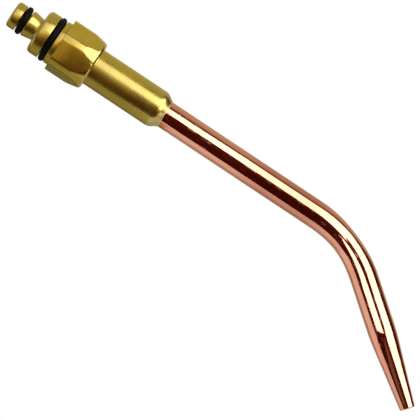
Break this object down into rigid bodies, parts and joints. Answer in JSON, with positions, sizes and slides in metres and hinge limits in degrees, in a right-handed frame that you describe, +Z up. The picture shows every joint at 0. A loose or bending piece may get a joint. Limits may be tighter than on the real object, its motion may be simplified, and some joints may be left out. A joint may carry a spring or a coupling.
{
  "type": "oxy-fuel torch tip",
  "caption": "Bent oxy-fuel torch tip: brass mixer head with black O-rings, hexagon union nut, brass stem and a polished copper tube swaged down to the flame outlet",
  "frame": {"origin": "centre of the nose's end face, where the tip seats in the torch handle", "axes": "+X along the nut and stem towards the flame, +Z up, the tube bends down in the XZ plane"},
  "size_m": [0.1543, 0.0158, 0.0406],
  "materials": {
    "turned_brass": "fine turned, satin",
    "milled_brass": "flats milled on round bar, satin",
    "braze_alloy": "as flowed, satin",
    "polished_copper": "polished copper, faint draw lines",
    "black_rubber": "lightly oiled nitrile"
  },
  "bodies": {
    "head": {"mixer_head": "turned_brass", "oxygen_jet": "turned_brass", "mixing_throat": "turned_brass", "nose_o_ring": "black_rubber", "flange_o_ring": "black_rubber"},
    "tube": {"stem": "turned_brass", "braze_fillet": "braze_alloy", "copper_tube": "polished_copper"},
    "nut_guide": {"slip_ring": "turned_brass"},
    "nut": {"coupling_nut": "milled_brass"}
  },
  "joints": [
    {"name": "tube_swivel", "type": "hinge", "parent": "head", "child": "tube", "pos_m": [0.0219, 0, 0], "axis": [1, 0, 0], "continuous": true},
    {"name": "nut_slide", "type": "slide", "parent": "tube", "child": "nut_guide", "axis": [1, 0, 0], "range_m": [0, 0.07]},
    {"name": "nut_spin", "type": "hinge", "parent": "nut_guide", "child": "nut", "pos_m": [0.0216, 0, 0], "axis": [1, 0, 0], "continuous": true}
  ]
}
